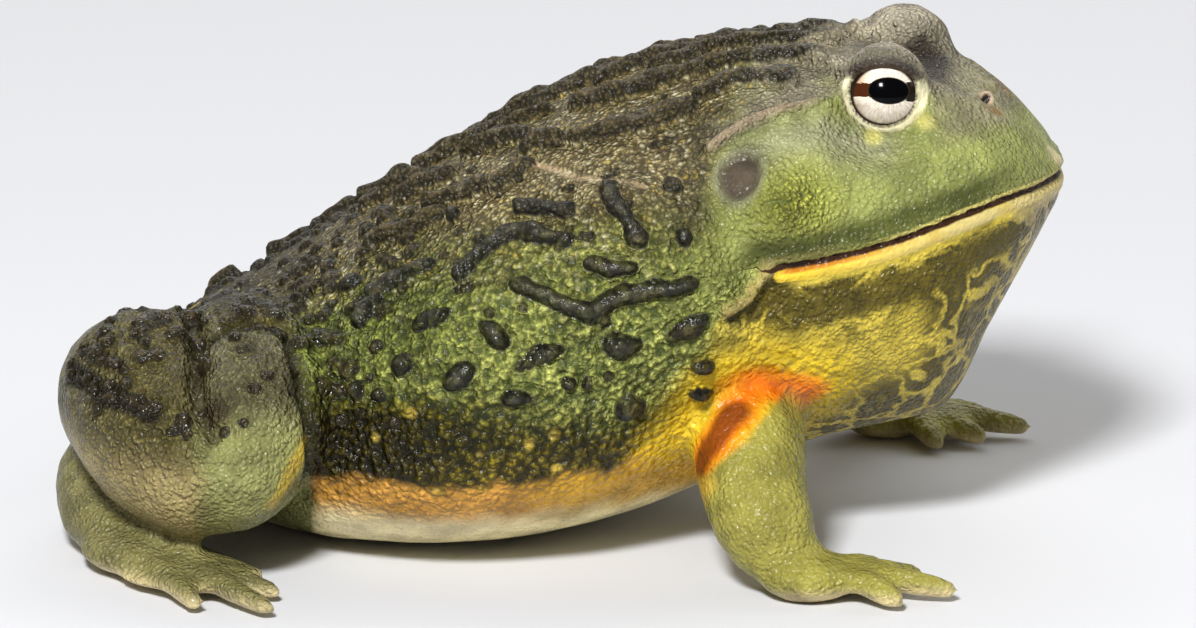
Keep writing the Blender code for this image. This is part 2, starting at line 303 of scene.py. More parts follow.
# Long folds of the back, as x and y of their bends, and those of the flank, as x and z. Most are
# on both sides, but those of the left flank's brow are its own.
BACK_FOLDS = [
    [(-4, 6), (7, 8.6)],
    [(9, 3.4), (16, 7)],
    [(20.5, -1), (28.4, 3)],
    [(-14, 11), (-3, 9)],
    [(5, -12), (13, -13.5), (20.4, -15)],
    [(22, -12.6), (32, -11)],
    [(34.5, -23.4), (38, -20), (45.4, -19.2), (53, -21)],
    [(-23, 3), (-13, 1)],
    [(-18, -10.5), (-11, -15), (-4.4, -18.3)],
    [(-2.7, -25), (3.4, -27)],
    [(7.5, -30), (14, -31), (21, -30.3), (32, -27.6)],
    [(-30.5, 2), (-24, 2)],
    [(-41.5, -2.4), (-31, -4)],
    [(-31, -17.7), (-21, -20)],
    [(-22.5, -31.6), (-15, -33.6), (-7.3, -37), (-2, -35)],
    [(-35.4, -32.5), (-29, -35.8), (-20.7, -38)],
    [(27.7, -11.3), (34, -9.5), (45, -10.7)],
    [(46.7, 7.6), (55, 11), (62.6, 13.5)],
    [(36, 6), (47.7, 0.7), (59, 3)],
]
LEFT_FOLDS = [
    [(28, 21), (33, 22), (40, 21)],
    [(16.5, 24.5), (24, 24)],
    [(5, 25.5), (12.5, 25)],
    [(-6.5, 28), (1, 29)],
    [(-18.5, 29.5), (-10.5, 29)],
    [(-35, 31), (-27, 31)],
    [(-47, 28), (-39, 29)],
    [(-57, 27), (-51.5, 28)],
    [(-67, 26), (-60.5, 26)],
    [(-80, 27), (-76, 27)],
]
FLANK_FOLDS = [
    [(1.3, 64.6), (7.3, 63.5), (12, 61.5), (16, 60.1), (19.8, 61.3), (25.4, 63.6), (36, 65.3)],
    [(-12.2, 65.7), (-9, 69.3), (-2.6, 74), (3.6, 74.2), (9, 73.3)],
    [(16, 69.2), (24.6, 69.4)],
    [(17.8, 83.6), (21.5, 79.4), (25.3, 75)],
    [(-32.5, 59), (-26.6, 62.6), (-20.7, 65.7)],
    [(-34.6, 53.5), (-31.7, 58.4)],
    [(-0.9, 77.8), (9.6, 78.8)],
]
# Warts of the flank: x, z, half length, half height and tilt in degrees.
WARTS = [
    (34.9, 74.9, 2.6, 3.0, 0),
    (32, 83.9, 2.2, 3.0, 20),
    (-18.1, 57, 5.2, 3.0, 28),
    (-24.2, 47.5, 3.0, 4.0, 0),
    (-3.7, 55.2, 4.4, 3.0, -40),
    (6.3, 51.2, 5.2, 3.1, 22),
    (22.5, 52.9, 4.0, 3.6, 0),
    (37.1, 56.6, 5.2, 3.0, 25),
    (-34, 56, 3.0, 2.4, 30),
    (-11.2, 46.3, 3.8, 3.4, 40),
    (1.5, 42, 3.2, 3.0, 0),
    (12.5, 45.4, 2.4, 2.2, 0),
    (24.8, 38.7, 4.4, 3.4, 0),
    (38.7, 40.6, 2.4, 2.0, 0),
    (39.1, 47.3, 2.2, 2.0, 0),
    (-43.6, 49, 2.8, 3.4, 0),
    (-38.7, 59, 3.4, 2.6, 20),
    (-45.1, 59.3, 2.6, 2.4, 0),
    (-53, 55.8, 2.6, 2.2, 0),
    (-50.5, 53, 2.6, 2.2, 0),
    (-34.2, 41, 2.6, 2.6, 0),
    (-28.4, 40.8, 2.0, 2.2, 0),
    (-9.3, 71.6, 2.0, 1.8, 0),
    (-16.3, 74, 2.4, 2.0, 0),
    (16.5, 44.8, 1.6, 1.6, 0),
]

# The skin, its relief. Near the lids, ears, nostrils, folds and warts the mesh is divided finer, and
# then every point is moved along its normal by the heights of the features that it lies in.
FINE = 0.9
DIVIDE_ROUNDS = 2
EVEN_ROUNDS = 2
EYE_ROUNDS = 8
SOCKET_ROUNDS = 30


def folded_over(places):
    """The places, with those of the right side turned over to the left."""
    return places * (1, 0, 1) + np.abs(places) * (0, 1, 0)


def ramp(values, low, high):
    """0 at low, 1 at high, with soft ends."""
    share = np.clip((values - low) / (high - low), 0, 1)
    return share * share * (3 - 2 * share)


def hump(reach, width, middle=0.0):
    """1 at this reach, falling away softly over the width on either side."""
    return np.exp(-(((reach - middle) / width) ** 2))


def line_reach(points, line, limit=12.0):
    """How far each point is from a bent line, in mm, or a great deal beyond the limit."""
    best = np.full(len(points), 1e3)
    line = np.array(line, float)
    near = np.all((points > line.min(0) - limit) & (points < line.max(0) + limit), axis=1)
    chosen = points[near]
    reach = np.full(len(chosen), 1e3)
    for start, end in zip(line[:-1], line[1:]):
        along = end - start
        t = np.clip((chosen - start) @ along / (along @ along), 0, 1)
        reach = np.minimum(reach, np.linalg.norm(chosen - start - t[:, None] * along, axis=1))
    best[near] = reach
    return best


def oval_reach(points, centre, normal, length, height, tilt):
    """Distance from an oval's centre, as a share of its half sizes."""
    level = np.cross((0, 0, 1), normal)
    level /= np.linalg.norm(level)
    if level[0] < 0:
        level = -level
    rise = np.cross(normal, level)
    if rise[2] < 0:
        rise = -rise
    angle = math.radians(tilt)
    first = level * math.cos(angle) + rise * math.sin(angle)
    second = rise * math.cos(angle) - level * math.sin(angle)
    away = points - centre
    depth = away @ normal
    return np.sqrt((away @ first / length) ** 2 + (away @ second / height) ** 2 + (depth / 5) ** 2)


# On the folded hind leg: the crease between shank and thigh, the groin, where the thigh's skin
# meets that of the flank, and two dark rows of small warts.
CREASE = [
    (-73.0, 46.0, 50.2),
    (-68.5, 61.5, 48.4),
    (-67.3, 70.2, 44.6),
    (-65.6, 77.9, 39.9),
    (-62.0, 83.5, 35.0),
]
GROIN = [
    (-68.5, 61, 48.5),
    (-64.1, 58.6, 51.6),
    (-58.4, 56.9, 53.0),
    (-52.7, 55.3, 52.3),
    (-49.5, 56.7, 50.9),
    (-46.3, 64.4, 47.0),
    (-43.8, 70.6, 40.4),
    (-42.1, 72.0, 33.2),
    (-41.9, 71.3, 28.5),
    (-43.0, 69.0, 20.0),
]
CROSSBAR = [(-96.5, 56, 40.5), (-94.1, 62.7, 40.8), (-85.4, 73.7, 40.3), (-75.4, 79.4, 38.4)]
SECOND_BAR = [(-94.7, 55.7, 45.0), (-83.1, 69.5, 45.4)]
SMALL_WARTS_TRIED = 760
WART_SEED = 7
chance = np.random.default_rng(WART_SEED)
folds = []
for bends in BACK_FOLDS:
    for side in (-1, 1):
        widest = max(abs(y) for _, y in bends)
        if side == 1 and (widest < 9.5 or 16.0 < widest < 36.0):
            continue
        moved = chance.uniform(-2.5, 2.5, 2) if side == 1 else (0, 0)
        folds.append([on_back(x + moved[0], -side * y + moved[1]) for x, y in bends])
folds += [[on_back(x, y) for x, y in bends] for bends in LEFT_FOLDS]
back_fold_count = len(folds)
for bends in FLANK_FOLDS:
    for side in (-1, 1):
        moved = chance.uniform(-2.5, 2.5, 2) if side == 1 else (0, 0)
        folds.append([on_flank(x + moved[0], z + moved[1], side) for x, z in bends])
warts = []
for x, z, length, height, tilt in WARTS:
    for side in (-1, 1):
        moved = chance.uniform(-3, 3, 2) if side == 1 else (0, 0)
        centre = on_flank(x + moved[0], z + moved[1], side)
        warts.append((centre, length, height, tilt))
small_warts = []
for _ in range(SMALL_WARTS_TRIED):
    x = chance.uniform(-92, 30)
    if x > -25 and chance.random() < 0.7:
        continue
    side = chance.choice((-1, 1))
    if chance.random() < 0.6:
        spot = on_back(x, side * chance.uniform(2, 62))
    else:
        spot = on_flank(x, chance.uniform(34, 80), side)
    if spot is None or spot[2] < 30:
        continue
    size = chance.uniform(1.1, 2.4) if x < -25 else chance.uniform(0.9, 1.5)
    small_warts.append((spot, size))
for bar in (CROSSBAR, SECOND_BAR):
    for start, end in zip(bar[:-1], bar[1:]):
        steps = int(np.linalg.norm(np.subtract(end, start)) / 1.8)
        for share in np.linspace(0, 1, max(steps, 2)):
            place = np.array(start) + share * np.subtract(end, start) + chance.uniform(-1.2, 1.2, 3)
            for side in (-1, 1):
                spot = smooth_tree.find_nearest(metres(place * (1, side, 1)))[0]
                small_warts.append((np.array(spot) / MM - ORIGIN, chance.uniform(1.0, 1.8)))

# The lids' opening: a circle a little behind the eye's axis, cut off above by the heavy upper lid.
BALL = 8.5
OPENING = 7.2
OPENING_BACK = 0.35
OPENING_TOP = 5.8


def from_eye(places):
    """How far places lie across, above and outward of the left eye's middle."""
    return ((places - EYE) @ np.array(eye_ways("left")).T).T


def opening_share(places):
    """1 along the edge of the lids' opening, and less inside it."""
    across, upward, outward = from_eye(places)
    reach = np.linalg.norm(places - EYE, axis=1)
    circle = np.hypot(across + OPENING_BACK, upward) / OPENING
    arch = (upward + 0.04 * across**2 + 1.5) / (OPENING_TOP + 1.5)
    return np.where((outward > -4.0) & (reach < 17.0), np.maximum(circle, arch), 9.0)


def detail_wanted(points):
    """The longest edge, in mm, that the relief bears at each point."""
    places = folded_over(points)
    wanted = np.full(len(points), 9.0)
    wanted[line_reach(places, BROW_RIDGE) < 4.0] = FINE
    wanted[line_reach(places, CREASE + GROIN) < 3.5] = FINE
    wanted[np.linalg.norm(places - EYE, axis=1) < 12.5] = 0.8
    wanted[np.abs(opening_share(places) - 1.0) < 0.13] = 0.4
    wanted[np.linalg.norm(places - NOSTRIL, axis=1) < 3.2] = 0.4
    wanted[np.abs(np.linalg.norm(places - EAR, axis=1) - 5.2) < 2.5] = 0.8
    for line in folds:
        wanted[line_reach(points, line) < 3.4] = FINE
    for centre, length, height, _ in warts:
        near = np.linalg.norm(points - centre, axis=1) < max(length, height) + 0.8
        wanted[near] = FINE
    return wanted


for _ in range(DIVIDE_ROUNDS):
    body.edges.ensure_lookup_table()
    ends = np.array([[v.co for v in edge.verts] for edge in body.edges]) / MM - ORIGIN
    lengths = np.linalg.norm(ends[:, 0] - ends[:, 1], axis=1)
    long_edges = np.flatnonzero(lengths > 1.3 * detail_wanted(ends.mean(axis=1)))
    bmesh.ops.subdivide_edges(body, edges=[body.edges[k] for k in long_edges], cuts=1)
    bmesh.ops.triangulate(body, faces=[face for face in body.faces if len(face.verts) > 3])
hide = Hide(body)
hide.smooth(EVEN_ROUNDS)
by_eye = np.linalg.norm(np.abs(hide.points) - EYE, axis=1) < 13.0
for _ in range(EYE_ROUNDS):
    hide.points[by_eye] += 0.5 * (hide.spread(hide.points) - hide.points)[by_eye]

points, normals = hide.points, hide.normals
sided = folded_over(points)

# Each point belongs to the part whose solid is nearest, and near a border it is shared.
PARTS = ("head", "jaw", "trunk", "upper_arm", "forearm", "hand", "thigh", "shank", "foot")
distances = {}
for word in PARTS:
    joined = bmesh.new()
    for name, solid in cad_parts.items():
        if word in name:
            joined.from_mesh(solid.data)
    solid_tree = BVHTree.FromBMesh(joined)
    distances[word] = np.array([solid_tree.find_nearest(v.co)[3] for v in body.verts]) / MM
    joined.free()
nearest = np.min(list(distances.values()), axis=0)
shares = {word: np.exp(-(distances[word] - nearest) / 1.5) for word in PARTS}
total = sum(shares.values())
shares = {word: share / total for word, share in shares.items()}


def part_share(*words):
    """1 where the nearest solid is one of these, fading to 0 about 3 mm from it."""
    return sum(shares[word] for word in words)


def from_spot(spot):
    """How far each point of either side is from a place on the left."""
    return np.linalg.norm(sided - spot, axis=1)


# Height is also read as a level: 0 at the floor and 1 along the middle of the back.
x, y, z = points.T
away = np.abs(y)
trunk_like = part_share("trunk") + part_share("head") * ramp(x, 40, 30)
back_xs = np.arange(-88.0, 108.0, 4.0)
back_zs = np.array([on_back(k, 0.0)[2] for k in back_xs])
level = z / np.interp(x, back_xs, back_zs)


def wander(points, size, seed):
    """A smooth random vector at each point that changes over about this many mm."""
    shift = Vector((seed * 17.3, seed * 5.1, seed * 9.7))
    return np.array([noise.noise_vector(Vector(p) / size + shift) for p in points])


# Half width, height and blackness of the folds of the back and of the flanks.
BACK_FOLD = (2.4, 2.9, 0.45)
FLANK_FOLD = (2.2, 2.4, 1.0)
WART_HEIGHT = 2.2
NOISE_SEED = 5
noise.seed_set(NOISE_SEED)
relief = np.zeros(len(points))
fold_share = np.full(len(points), 9.0)
blackness = np.zeros(len(points))
drift = wander(points, 7.0, 1)
swell = wander(points, 4.5, 2)
pale_places = wander(points, 8.0, 3)
# Where folds and warts are drawn, the points are moved a little, so that no outline is even.
drifted = points + 1.1 * drift


def raise_flesh(share, height, black):
    """Lifts a rounded form where share is under 1, and marks it for its colour."""
    share = share * (1 + 0.45 * swell[:, 0])
    bulge = np.clip(1 - share**2, 0, 1) ** 0.6
    relief[:] = np.maximum(relief, height * (1 + 0.5 * swell[:, 1]) * bulge)
    faded = black - 0.4 * black**3 * ramp(pale_places[:, 0], 0.05, 0.45)
    blackness[:] = np.where(share < fold_share, faded, blackness)
    fold_share[:] = np.minimum(fold_share, share)


for k, line in enumerate(folds):
    half_width, height, black = BACK_FOLD if k < back_fold_count else FLANK_FOLD
    raise_flesh(line_reach(drifted, line) / half_width, height, black)
for centre, length, height, tilt in warts:
    normal = smooth_tree.find_nearest(metres(centre))[1]
    share = oval_reach(drifted, centre, np.array(normal), length, 0.82 * height, tilt)
    raise_flesh(share, WART_HEIGHT, 1.0)
for centre, size in small_warts:
    near = np.flatnonzero(np.abs(points - centre).max(axis=1) < 4)
    share = np.linalg.norm(points[near] - centre, axis=1) / size
    relief[near] = np.maximum(relief[near], 0.6 * size * np.clip(1 - share**2, 0, 1) ** 0.6)
    blackness[near] = np.where(share < fold_share[near], 0.55, blackness[near])
    fold_share[near] = np.minimum(fold_share[near], share)
relief -= 0.5 * hump(fold_share, 0.25, 1.2)


def inside(across, up, outline):
    """Whether each place lies within a closed outline."""
    found_in = np.zeros(len(across), bool)
    for (ax, az), (bx, bz) in zip(outline, outline[1:] + outline[:1]):
        if az == bz:
            continue
        crosses = ((az > up) != (bz > up)) & (across < (bx - ax) * (up - az) / (bz - az) + ax)
        found_in ^= crosses
    return found_in


def seen(x, y, z):
    """How far along and up a place lies, seen 8.5 degrees ahead of square and 15 above level."""
    return 0.989 * x - 0.148 * y, 0.966 * z - 0.256 * y - 0.038 * x


# The border between jaw and head: the mouth's line, then down and back along the corner's fold.
jaw_top = CORNER_FOLD[::-1] + MOUTH[::-1]
jaw_border = np.interp(x, [36.0] + [p[0] for p in jaw_top], [48.0] + [p[2] for p in jaw_top])

# The thigh's outline runs down the groin and then round the leg, well clear of it.
groin_reach = line_reach(sided, GROIN, 40.0)
round_leg = [(-43, 71, -20), (-130, 71, -20), (-130, 40, 80), (-70, 50, 60)]
seen_along, seen_up = seen(*sided.T)
on_leg = inside(seen_along, seen_up, [seen(*spot) for spot in GROIN[1:] + round_leg])
groin_signed = np.where(on_leg, groin_reach, -groin_reach)
crease_reach = line_reach(sided, CREASE)
crease_along, _ = seen(*np.array(CREASE).T)
crease_at = np.interp(z, [spot[2] for spot in CREASE[::-1]], crease_along[::-1])
behind_crease = ramp(crease_at - seen_along, -1, 1)

# From here on each hump of the relief has its height and its half width in mm.
relief -= 2.3 * hump(crease_reach, 2.1)
relief += 1.1 * hump(crease_reach, 1.8, 3.6) * behind_crease
relief -= 2.4 * hump(groin_reach, 2.2)

# Signed distance from the mouth: positive above it. Behind the corner it only grows.
mouth_reach = line_reach(sided, MOUTH, 60.0)
mouth_level = np.interp(x, [p[0] for p in MOUTH[::-1]], [p[2] for p in MOUTH[::-1]])
mouth_signed = np.where(z > mouth_level, mouth_reach, -mouth_reach)
relief -= 1.4 * hump(mouth_signed, 0.65)
relief += 0.9 * hump(mouth_reach, 1.1, 1.6) * ramp(mouth_signed, 0, 1)
lip_reach = line_reach(sided, LIP)
lip_height = 1.3 - 0.9 * ramp(x, 92, 104)
relief += lip_height * np.clip(1 - (lip_reach / (LIP_WIDTH / 2 + 0.4)) ** 2, 0, 1) ** 0.6

# The fold at the mouth's corner, the ear's disc, the brow's ridge, and the nostril in its mound.
corner_reach = line_reach(sided, CORNER_FOLD)
relief += 2.9 * hump(corner_reach, 1.1)
relief -= 0.7 * hump(corner_reach, 0.8, 2.4) * (x < 52.0)
ear_reach = np.linalg.norm((sided - EAR) / EAR_SIZE, axis=1)
relief += 0.6 * hump(ear_reach, 0.16, 1.0) - 0.7 * ramp(ear_reach, 1.0, 0.8)
brow_reach = line_reach(sided + 0.8 * drift, BROW_RIDGE)
relief += 2.3 * hump(brow_reach, 1.6)
nose_reach = from_spot(NOSTRIL)
nose_mound = from_spot(NOSTRIL - (0.0, 1.5, 0.0))
relief += 1.7 * hump(nose_mound, 1.9) - 1.9 * hump(nose_reach, 1.1)

# Over each eye the crown rises in a low dome, with a trough round its inner and rear foot.
crown = sided - (EYE_PLACE[0] - 1.0, EYE_PLACE[1] - 1.0, EYE_PLACE[2] + 8.5)
relief += 0.9 * hump(np.linalg.norm(crown, axis=1), 5.0)
round_crown = np.linalg.norm(crown[:, :2], axis=1)
foot_of_dome = hump(round_crown, 2.4, 11.0) * ramp(z, 96, 100)
relief -= 1.6 * foot_of_dome * ramp(-crown[:, 1] + 0.4 * crown[:, 0], -2, 5)
points += normals * (relief - 0.5 * trunk_like)[:, None]

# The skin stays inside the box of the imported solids.
ROOM = 0.05
box_low, box_high = (np.array(corner) / MM - ORIGIN for corner in cad_box)
points[:] = np.clip(points, box_low + ROOM, box_high - ROOM)
points[:, 2] = np.maximum(points[:, 2], 0.0)


def both_sides(moves):
    """Moves worked out for the left side, turned over for the points of the right."""
    return moves * np.stack([np.ones(len(y)), np.sign(y), np.ones(len(y))], axis=1)


# Under the eye the cheek is hollowed down to the lower lid, so that it hides none of the eye.
across, upward, outward = from_eye(folded_over(points))
from_opening = np.hypot(across + OPENING_BACK, upward) - OPENING
hollow = 4.3 + np.where(from_opening > 0, 0.9 * from_opening, 0.0)
excess = outward - hollow
excess *= ramp(excess, -0.8, 1.2) * ramp(upward, 3.0, 0.5) * ramp(from_opening, 12.0, 6.0)
points -= both_sides(np.maximum(excess, 0)[:, None] * np.array(axis_of("left")))

# The lids end on the eyeball: skin inside the opening is tucked under the ball, and the rim round
# it stands a little proud of the ball, most of all the upper lid.
TUCK = 0.7
ROUND_TO = 7.9
hollowed = folded_over(points)
rim_share = opening_share(hollowed)
across, upward, outward = from_eye(hollowed)
proud = BALL + 0.45 + 0.85 * ramp(upward, 2.0, 5.0)
from_axis = np.hypot(across, upward)
over_ball = np.sqrt(proud**2 - np.minimum(from_axis, ROUND_TO) ** 2)
over_ball -= 1.1 * np.maximum(from_axis - ROUND_TO, 0)
lift = np.maximum(over_ball - outward, 0) * ramp(rim_share, 1.8, 1.45) * ramp(outward, -4.0, -2.5)
points += both_sides(lift[:, None] * np.array(axis_of("left")))
# The skin before the eye's front corner is evened out, where the lift would leave a step.
socket_front = ramp(rim_share, 1.1, 1.2) * ramp(rim_share, 2.1, 1.7) * ramp(upward, -1.0, 2.0)
socket_front *= ramp(across, 1.5, 4.0) * ramp(outward, -7.0, -5.0)
for _ in range(SOCKET_ROUNDS):
    points += 0.5 * socket_front[:, None] * (hide.spread(points) - points)
points[:] = np.clip(points, box_low + ROOM, box_high - ROOM)
from_middle = folded_over(points) - EYE
eye_reach = np.linalg.norm(from_middle, axis=1)
tucked = eye_reach + (BALL - TUCK - eye_reach) * ramp(rim_share, 1.03, 0.98)
points += both_sides(from_middle * (tucked / eye_reach - 1)[:, None])
hide.give_back(body)
body.to_mesh(skin.data)
body.free()
for polygon in skin.data.polygons:
    polygon.use_smooth = True

# The skin, its colours. Each point carries the colour of its grains' crests and that of the gaps
# between them, their own darker colour deepened with painted shade, how strong and how coarse the
# grain is, and the fields that markings are drawn from.


def linear(colour):
    """The linear colour of an sRGB hex value."""
    parts = [int(colour[k : k + 2], 16) / 255 for k in (1, 3, 5)]
    return [c / 12.92 if c <= 0.04045 else ((c + 0.055) / 1.055) ** 2.4 for c in parts] + [1.0]


crest = np.tile(linear("#bcc065"), (len(points), 1))
gap = np.tile(linear("#3b431c"), (len(points), 1))
grain = np.full(len(points), 1.0)
coarse = np.full(len(points), 0.6)


def paint(weight, crest_colour, shaded_gap_colour, grain_there, coarse_there):
    """Lays a zone's colours and grain over what is there."""
    share = np.clip(weight, 0, 1)
    crest[:] += share[:, None] * (np.array(linear(crest_colour)) - crest)
    gap[:] += share[:, None] * (np.array(linear(shaded_gap_colour)) - gap)
    grain[:] += share * (grain_there - grain)
    coarse[:] += share * (coarse_there - coarse)


# Flank and back: green, darker low down and at the rear, brown along the back.
level = level + 0.05 * drift[:, 0]
dark_top = np.interp(x, [-60, -40, -21, 0, 10, 30], [45, 41, 40, 38, 36, 30]) + 3.0 * drift[:, 1]
paint(ramp(z - dark_top, 7.0, -3.0), "#797024", "#191a06", 1.0, 0.8)
paint(ramp(z - dark_top, 1.0, -7.0) * ramp(x, 12, -28), "#3f3709", "#110f03", 1.0, 0.8)
brown_low = np.interp(x, [-60, -30, 0, 20], [0.77, 0.76, 0.7, 0.66])
paint(ramp(level, 0.5, 0.74) * ramp(x, 4, -24), "#949d4a", "#353a19", 1.0, 0.4)
paint(ramp(level, brown_low, brown_low + 0.22), "#a19161", "#3c341b", 1.0, 0.2)
tan = hump(line_reach(sided, [(-8, 36, 84), (8, 41, 85), (25, 43, 87)]), 11)
paint(tan, "#cabb88", "#4a3f26", 1.0, 0.15)
paint(ramp(x, -44, -62) * ramp(level, 0.3, 0.5), "#5c5322", "#221e0c", 1.0, 0.4)

# Belly: cream underneath, with a band of ochre that turns yellow towards the arm.
belly_top = np.interp(x, [-60, -40, 8, 18, 28, 34, 38], [23.5, 22, 22.5, 25, 29.5, 35, 41])
belly_top = belly_top + 2.2 * drift[:, 0] + 1.5 * swell[:, 2]
low_yellow = ramp(belly_top + 10 + 3 * drift[:, 2] - z, 0, 7) * ramp(x, -28, 2) * 0.7
paint(low_yellow, "#97831f", "#2a2406", 1.0, 0.8)
belly = ramp(belly_top - z, -0.8, 2.0) * ramp(x, -62, -48)
paint(belly, "#cc9442", "#98702c", 0.6, 0.8)
paint(belly * ramp(x, -6, 16), "#dfae2d", "#b4871f", 0.5, 0.8)
paint(ramp(z + 2.0 * drift[:, 1], 16.5, 9.5), "#e9dcae", "#cfc08a", 0.2, 0.5)

# Head: green cheeks, a grey line under the brow, a brown top that turns grey at the snout, paler
# domes over the eyes with painted light on their inner side, and painted shade along the upper lip.
mid_back = ramp(away, 38, 26) * ramp(z, 80, 88)
head_start = x + (3 + 5 * mid_back) * drift[:, 1]
head_share = part_share("head") * ramp(head_start, 35.0, 39 + 13 * mid_back)
jaw_share = part_share("jaw", "head") * ramp(x, 36, 42) * ramp(z - jaw_border, 0.6, -0.6)
top_xs = [30, 37, 45, 54, 62, 66, 80, 84, 90, 96, 102, 108]
top_border = np.interp(x, top_xs, [70, 90, 95, 97.5, 99, 101, 103, 95, 94, 92, 89, 86])
top = ramp(z + 3 * drift[:, 2], top_border - 1.5, top_border + 2.5)
crown_top = ramp(away, 17, 12) * ramp(z, 90, 94)
paint(head_share, "#9aa05c", "#6d7437", 0.32, 0.0)
cheek = hump(from_spot((57.5, 48, 81.5)), 8.5)
paint(head_share * cheek, "#c0bf4e", "#555c22", 1.0, 0.25)
grey_line = [(46, 43, 92), (53, 39.5, 94), (62, 36, 95), (66, 36, 92), (73, 34.5, 91)]
grey = hump(line_reach(sided, grey_line), 5.5)
paint(head_share * grey * 0.85, "#9a9a7b", "#717158", 0.45, 0.05)
lip_edge = ramp(mouth_signed, 0.4, 0.9) * ramp(mouth_signed, 2.8, 1.9) * ramp(x, 70, 60)
# Painted shade: a darker band along the upper lip, above the mouth.
upper_lip_shade = ramp(mouth_signed, 0.5, 2.0) * ramp(mouth_signed, 8.5, 4.5) * ramp(x, 104, 94)
paint(head_share * upper_lip_shade, "#4a4f1e", "#373b18", 0.25, 0.0)
paint(head_share * lip_edge * 0.85, "#a89c5e", "#867a46", 0.2, 0.0)
paint(head_share * np.maximum(top, crown_top), "#a29a80", "#635b49", 0.7, 0.0)
between_lids = ramp(away, 12, 9) * ramp(z, 90, 94) * ramp(x, 88, 82) * ramp(x, 62, 68)
paint(head_share * between_lids, "#4b4338", "#29241e", 0.7, 0.0)
on_dome = ramp(from_spot((71.0, 17.5, 101.5)), 11.0, 8.0) * ramp(z, 99, 103)
paint(on_dome, "#a69c84", "#635a49", 0.7, 0.0)
# Painted light: the inner side of each dome is lighter still.
paint(on_dome * ramp(away, 20, 15), "#d4cbb2", "#8a806a", 0.6, 0.0)
snout = ramp(x, 82, 90) * head_share * ramp(z, 88, 95)
paint(snout, "#96906c", "#6b664b", 0.35, 0.05)

# Throat: yellow. The neck behind it is green, and brown higher up, behind the ear.
paint(jaw_share, "#cdb944", "#a89438", 0.4, 0.2)
neck = hump(line_reach(sided, [(37, 54, 76), (38, 58, 66), (38, 60, 58)]), 6)
paint(neck * 0.8 * (1 - jaw_share), "#989c50", "#595f2c", 0.9, 0.5)
collar = hump(line_reach(sided, [(36, 33, 94), (36.5, 43, 87), (35, 53, 77)]), 4.5)
paint(collar * 0.9, "#7d7450", "#332e1d", 1.0, 0.4)

# Armpit: orange in the fold before the arm, red brown painted shade at its foot where the arm
# meets the body, fading to yellow round it.
armpit_line = [
    (38.8, 57.9, 25.7),
    (42.1, 58.7, 31.6),
    (45.8, 54.8, 36.8),
    (49.1, 47.7, 40.3),
    (58.0, 41.3, 38.0),
]
armpit_reach = line_reach(sided, armpit_line, 30.0) + 2.0 * drift[:, 0]
paint(ramp(armpit_reach, 17, 8), "#dfc02c", "#b09620", 0.5, 0.8)
paint(ramp(armpit_reach, 7.5, 3.5), "#f29a1c", "#d0700e", 0.35, 0.6)
paint(ramp(armpit_reach, 4.0, 1.0) * ramp(x, 37, 40), "#ec7c14", "#c4560c", 0.3, 0.6)
# Painted shade: red brown in the gap at the foot of the armpit's fold.
paint(ramp(line_reach(sided, armpit_line[:3]), 4.8, 2.0), "#8a4310", "#65300b", 0.3, 0.6)

# Arms and hands: olive green, yellow along the rear. At each height the green starts at arm_xs.
arm_share = part_share("upper_arm", "forearm", "hand")
arm_zs = [20.0, 22.7, 28.3, 32.3, 35.7, 37.5, 44.0]
arm_xs = [36.0, 39.0, 43.7, 47.7, 51.4, 53.8, 58.0]
arm_front = x - np.interp(z, arm_zs, arm_xs)
arm_share = arm_share * np.where(z > 18, ramp(arm_front + 1.5 * drift[:, 1], -1.0, 1.5), 1.0)
paint(arm_share, "#9b9545", "#756f31", 0.35, 0.25)
arm_rear = ramp(x - np.interp(z, [0, 18, 23], [33, 39, 41.5]), 3.0, -1.0) * ramp(x, 20, 28)
paint(arm_share * arm_rear * ramp(z, 30, 22), "#cfae44", "#ac8c30", 0.3, 0.25)

# Legs and feet: brown above and green below, with painted shade in the groin and the creases, dark
# bars, and a yellow rim.
thigh_share = ramp(groin_signed, -0.8, 1.2) * ramp(away, 40, 48) * (1 - arm_share) * ramp(x, -30, -38)
shank_share = part_share("shank")
paint(thigh_share, "#7a7550", "#403d26", 0.9, 0.4)
paint(thigh_share * ramp(z, 42, 32), "#8f8f57", "#6c6e41", 0.4, 0.15)
paint(shank_share, "#776e40", "#3c361c", 1.0, 0.4)
paint(shank_share * ramp(z, 34, 24), "#a0905f", "#746842", 0.5, 0.2)
paint(part_share("foot"), "#86804f", "#615c38", 0.5, 0.2)
paint(ramp(z, 5, 1) * part_share("foot", "hand"), "#dccda0", "#bda878", 0.2, 0.4)
# Painted shade along the groin and in the crease between thigh and shank.
paint(ramp(groin_reach, 3.0, 0.8), "#34321c", "#22210f", 0.5, 0.4)
paint(ramp(crease_reach, 2.8, 0.8) * 0.8, "#38331f", "#221f14", 0.4, 0.4)
paint(ramp(from_spot((-61.6, 80.0, 39.5)), 5.0, 2.0), "#4c4128", "#2d2718", 0.9, 0.4)
bar_reach = line_reach(sided, CROSSBAR) + 1.0 * drift[:, 1]
paint(ramp(bar_reach, 3.2, 1.8), "#332d1d", "#191610", 0.9, 0.4)
second_bar = line_reach(sided, SECOND_BAR) + 0.8 * drift[:, 2]
paint(ramp(second_bar, 2.0, 0.6) * 0.9, "#403924", "#241f16", 0.9, 0.4)
thigh_rim = line_reach(sided, [(-43.2, 73.5, 31), (-45, 76.7, 27.5), (-50, 79, 20)])
paint(ramp(thigh_rim, 3.4, 0.8) * 0.9, "#c7ab43", "#9f8a2f", 0.3, 0.2)

# An old pale scratch high on the right flank.
scar = line_reach(sided, [(-1.6, 33.3, 84.2), (9.8, 42.9, 84.1), (25, 49.3, 84.5)])
paint(ramp(scar + 0.4 * drift[:, 0], 1.05, 0.4) * (y < 0), "#b9a080", "#947a5a", 0.1, 0.2)
